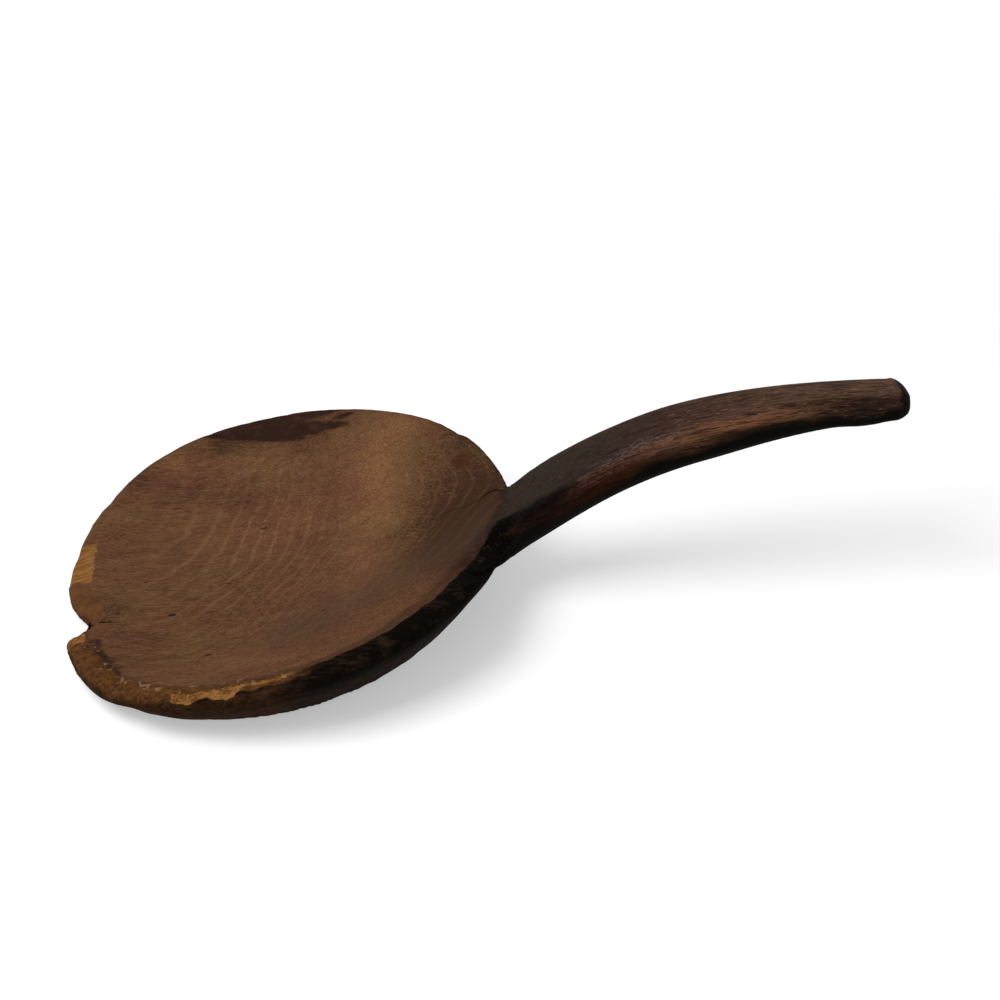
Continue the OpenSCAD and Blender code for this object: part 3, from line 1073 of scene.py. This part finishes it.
def dish_wood(n):
    """The dish's dry wood, with its rings, pores, knot and stains, and a painted streak of light on its
    floor.
    """
    pale_lines, late_wood = growth_rings(n)
    grains = ((n.streak, 0.7), (n.fine_streak, 2.8), (n.mottle, 0.7), (n.patchy, 0.7), (n.speck, 1.6))
    # Its lightness takes the painted streak of light from the floor's tone
    light = n.sum(*[n.about(*grain) for grain in grains], n.times(late_wood, -0.10), n.share("tone"))
    hue = n.grain(34, 20, 4, 0.6)
    dapple = n.grain(7, 3.2, 5, 0.7)
    middle = n.layers(
        WOOD_MID,
        (n.ramp(hue, 0.48, 0.66, 0, 0.8), WOOD_ROSE),
        (n.ramp(hue, 0.50, 0.34, 0, 0.8), WOOD_OLIVE),
        (n.ramp(dapple, 0.45, 0.75, 0, 0.45), WOOD_RED),
        (n.ramp(dapple, 0.52, 0.25, 0, 0.45), WOOD_DRY))
    uneven = n.sum(n.ragged, n.about(n.patchy, 1.6))
    stained = n.math("ADD", n.share("stain"), n.times(n.share("stain"), uneven), clamped=True)
    return n.layers(
        WOOD_DARK,
        (n.ramp(light, -0.85, 0.1), middle),
        (n.ramp(light, -0.05, 1.25), WOOD_PALE),
        (n.times(n.share("grey"), 0.55), WOOD_GREY),
        (n.times(pale_lines, 0.28), RING_PALE),
        (n.times(n.pores, 0.4), PORE),
        (n.times(n.share("knotted"), n.ramp(n.streak, 0.3, 0.7, 1, 0.6)), KNOT_BROWN),
        (n.times(stained, 0.9), PURPLE))


def handle_wood(n):
    """The handle's upper face and sides, with dark dashes and blotches, painted glints, a painted sheen and
    scratches.
    """
    upper = n.math("ADD", n.share("crown"), n.about(n.patchy, 0.7), clamped=True)
    quiet = n.times(n.share("crown"), n.ramp(n.along, 0.05, 0.4, 0.5, 0))
    dashes = n.ramp(n.sum(n.fine_streak, n.about(n.streak, 0.6)), 0.50, 0.36)
    blotches = n.ramp(n.grain(11, 2.6, 4, 0.65), 0.50, 0.68)
    # Painted glints: pale flecks along the fine streaks
    glints = n.ramp(n.sum(n.fine_streak, n.about(n.speck, 0.5)), 0.55, 0.8)
    painted_sheen = n.times(n.share("polish_and_painted_sheen"), n.ramp(n.grain(2.4, 0.5, 2, 0.6), 0.46, 0.60))
    scratches = n.ramp(n.grain(3.5, 0.5, 1, 0.4), 0.67, 0.72)
    return n.layers(
        n.mix(upper, n.follow(SIDE_NECK, SIDE_STEPS), n.follow(GRIP_NECK, GRIP_STEPS)),
        (n.times(dashes, n.math("SUBTRACT", 0.85, quiet)), PATINA_AND_SHADE_BLACK),
        (n.times(blotches, n.ramp(n.along, 0.2, 0.6, 0.2, 0.55)), GRIP_DARK),
        (n.times(glints, n.ramp(n.along, 0.2, 0.7, 0.25, 0.45)), SCRATCH_AND_GLINT),
        # Painted sheen: pale ripples on the polished shoulders
        (n.times(painted_sheen, 0.42), PAINTED_SHEEN),
        (n.times(scratches, n.ramp(n.along, 0.25, 0.5, 0, 0.6)), SCRATCH_AND_GLINT),
        # Black end, and painted shade on the heel where faces look down
        (n.share("black_end_and_heel_shade"), BLACK))


def old_surface(n):
    """The dark outside: the wall and the handle, painted shade on what looks down, and painted shade on the
    facet before the neck's edge.
    """
    brown = n.sum(n.times(n.streak, 0.5), n.times(n.patchy, 0.6), n.times(n.mottle, 0.3),
                  n.times(n.share("low_wall"), 0.12))
    return n.layers(
        PATINA_AND_SHADE_BLACK,
        (n.ramp(brown, 0.66, 0.90), PATINA_BROWN),
        (n.share("grip"), handle_wood(n)),
        # Painted shade: near-black on faces that look down
        (n.share("under"), PATINA_AND_SHADE_BLACK),
        # Painted shade: black with pale specks on the facet before the neck's edge
        (n.torn("band", 1.2, 0.05, 0.95), n.mix(n.ramp(n.speck, 0.54, 0.76, 0, 0.8), BLACK, GRIP_NECK)))


def wear(n, colour):
    """A colour with what use and age did to it: scuffs, bare and split wood, specks, pits and cracks."""
    scuffed = n.two_tone(n.grain(2.2, 1.2, 4, 0.72), 0.5, 0.32, 0.68, SCUFF_DARK, SCUFF_BROWN)
    split = n.mix(n.ramp(n.grain(9, 0.5, 3, 0.6, 4), 0.34, 0.62), FRESH_DARK, FRESH)
    dents = n.ramp(n.grain(2.6, 1.9), 0.58, 0.64, 0, 0.7)
    return n.layers(
        colour,
        (n.torn("scuff", 0.6, 0.1, 0.9), scuffed),
        (n.torn("ochre", 0.6, 0.1, 0.9, 0.7), n.two_tone(n.fine_streak, 0.6, 0.36, 0.56, WOOD_RED, OCHRE)),
        (n.torn("worn", 1, 0.38, 0.62), n.two_tone(n.fine_streak, 0.8, 0.38, 0.62, TAN_DARK, TAN)),
        (n.torn("fresh", 0.4, 0.4, 0.6), split),
        (n.times(n.share("specks"), dents), SPECK_PALE),
        (n.ramp(n.share("pitted"), 0.05, 0.4, 0, 0.95), PORE),
        (n.ramp(n.share("cracked"), 0.05, 0.6, 0, 0.9), BLACK))


def wood(name, shine):
    """Old wood: growth rings and fibres through the whole paddle, with patina and wear on its surface."""
    material = bpy.data.materials.new(name)
    material.use_nodes = True
    n = Wood(material.node_tree)
    aged = n.torn("patina", 0.5, 0.2, 0.8)
    colour = wear(n, n.mix(aged, dish_wood(n), old_surface(n)))
    polished = n.times(n.share("grip"), n.share("polish_and_painted_sheen"))
    dull = n.sum(0.88, n.times(aged, -0.18), n.times(polished, -0.35), n.about(n.speck, 0.2))
    ripples = n.times(polished, n.grain(1.6, 0.9, 1))
    relief = n.sum(n.times(n.fine_streak, 0.5), n.times(n.streak, 0.4), n.times(n.pores, -0.5),
                   n.times(n.speck, 0.35), n.times(ripples, 2.5))
    bump = n.add("Bump", {"Strength": 0.5, "Distance": BUMP_DEPTH * MM, "Height": relief}).outputs[0]
    coat = n.times(polished, n.ramp(n.grain(1.5, 0.7, 2, 0.6), 0.45, 0.65, 0, 0.6))
    shader = n.add("BsdfPrincipled", {
        "Base Color": colour, "Roughness": dull, "Specular IOR Level": shine, "Normal": bump,
        "Coat Weight": coat, "Coat Roughness": 0.28, "Coat Normal": bump})
    n.add("OutputMaterial", {"Surface": shader.outputs[0]})
    return material


# Pieces

def give_looks(mesh, p):
    for look_of in LOOKS:
        layer = mesh.attributes.new(look_of.__name__, "FLOAT", "POINT")
        layer.data.foreach_set("value", look_of(p).astype(np.float32))
    layer = mesh.attributes.new("whole_normal", "FLOAT_VECTOR", "POINT")
    layer.data.foreach_set("vector", normals_of(mesh).astype(np.float32).ravel())


def half_of(mesh, name, keep_neck_side):
    """The part of the skin on one side of the neck, closed there by a flat face."""
    grid = bmesh.new()
    grid.from_mesh(mesh)
    everything = list(grid.verts) + list(grid.edges) + list(grid.faces)
    cut = bmesh.ops.bisect_plane(
        grid, geom=everything, plane_co=(SEAM, 0, 0), plane_no=(1, 0, 0),
        clear_inner=keep_neck_side, clear_outer=not keep_neck_side)
    rim_edges = [e for e in cut["geom_cut"] if isinstance(e, bmesh.types.BMEdge)]
    cap = bmesh.ops.holes_fill(grid, edges=rim_edges, sides=0)["faces"]
    bmesh.ops.triangulate(grid, faces=cap)
    bmesh.ops.recalc_face_normals(grid, faces=grid.faces)
    bmesh.ops.scale(grid, vec=(MM,) * 3, verts=grid.verts)
    half = bpy.data.meshes.new(name)
    grid.to_mesh(half)
    grid.free()
    return half


def keep_normals(mesh):
    """Shades each half as part of the whole skin, so that no seam shows at the neck."""
    mesh.polygons.foreach_set("use_smooth", np.ones(len(mesh.polygons), bool))
    whole = read(mesh.attributes["whole_normal"].data, "vector", 3)
    normals = whole[read(mesh.loops, "vertex_index", 1, np.int32)[:, 0]]
    at_seam = np.abs(points_of(mesh)[:, 0] - SEAM * MM) < WELD * MM
    for face in mesh.polygons:
        if all(at_seam[i] for i in face.vertices):
            normals[list(face.loop_indices)] = face.normal
    lengths = np.linalg.norm(normals, axis=1, keepdims=True)
    mesh.normals_split_custom_set(normals / np.maximum(lengths, 1e-9))
    mesh.attributes.remove(mesh.attributes["whole_normal"])


def add_piece(name, mesh, node, slot, shine):
    piece = add_object(name, mesh)
    mesh.materials.append(wood(slot, shine))
    keep_normals(mesh)
    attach(piece, "root")
    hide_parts(node)


# Camera, floor and light

def add_camera():
    data = bpy.data.cameras.new("camera")
    data.lens = CAMERA_LENS
    data.sensor_width = SENSOR
    camera = add_object("camera", data)
    turn = Euler((math.radians(90 - VIEW_ELEVATION), 0, math.radians(VIEW_AZIMUTH))).to_matrix()
    place = turn @ Vector((CAMERA_RIGHT, CAMERA_UP, CAMERA_AWAY)) * MM
    camera.matrix_world = Matrix.LocRotScale(place, turn, None)
    bpy.context.scene.camera = camera


def seen_directly(n):
    """1 for what the camera, a reflection or clear glass sees, 0 for light that falls on things."""
    path = n.add("LightPath").outputs
    seen = n.math("ADD", path["Is Camera Ray"], path["Is Glossy Ray"])
    return n.math("ADD", seen, path["Is Transmission Ray"], clamped=True)


def add_floor():
    mesh = bpy.data.meshes.new("floor")
    half = FLOOR_WIDTH * MM / 2
    corners = [(-half, -half), (half, -half), (half, half), (-half, half)]
    mesh.from_pydata([(x, y, -FLOOR_GAP * MM) for x, y in corners], [], [(0, 1, 2, 3)])
    floor = add_object("floor", mesh)
    material = bpy.data.materials.new("pale_floor")
    material.use_nodes = True
    n = Nodes(material.node_tree)
    paint = n.add("BsdfDiffuse", {"Color": (FLOOR_ALBEDO,) * 3 + (1,)})
    away = n.add("VectorMath", {0: n.add("TexCoord").outputs["Object"]}, operation="LENGTH").outputs["Value"]
    near, far = (reach * MM for reach in FLOOR_FAR)
    strength = n.ramp(away, near, far, FLOOR_GLOW, FLOOR_FAR_GLOW)
    glow = n.add("Emission", {"Color": (1, 1, 1, 1), "Strength": n.times(seen_directly(n), strength)})
    both = n.add("AddShader", {0: paint.outputs[0], 1: glow.outputs[0]})
    n.add("OutputMaterial", {"Surface": both.outputs[0]})
    mesh.materials.append(material)


def add_light():
    data = bpy.data.lights.new("key", "AREA")
    data.size = KEY_WIDTH * MM
    data.energy = KEY_POWER
    key = add_object("key", data)
    key.location = Vector(KEY_PLACE) * MM
    middle = Vector(((TIP + END) / 2, 0, 0)) * MM
    key.rotation_euler = (middle - key.location).to_track_quat("-Z", "Y").to_euler()
    world = bpy.data.worlds.new("studio")
    world.use_nodes = True
    bpy.context.scene.world = world
    n = Nodes(world.node_tree)
    strength = n.ramp(seen_directly(n), 0, 1, SKY, 1)
    sky = n.add("Background", {"Color": (1, 1, 1, 1), "Strength": strength})
    n.add("OutputWorld", {"Surface": sky.outputs[0]})


add_camera()
add_floor()
add_light()
bpy.context.scene.view_settings.view_transform = "Standard"

skin, skin_places = carved_skin()
give_looks(skin, skin_places)
add_piece("dish_blade", half_of(skin, "dish_blade", False), "blade", "blade_wood", BLADE_SHINE)
add_piece("grip_handle", half_of(skin, "grip_handle", True), "handle", "handle_wood", HANDLE_SHINE)
bpy.data.meshes.remove(skin)
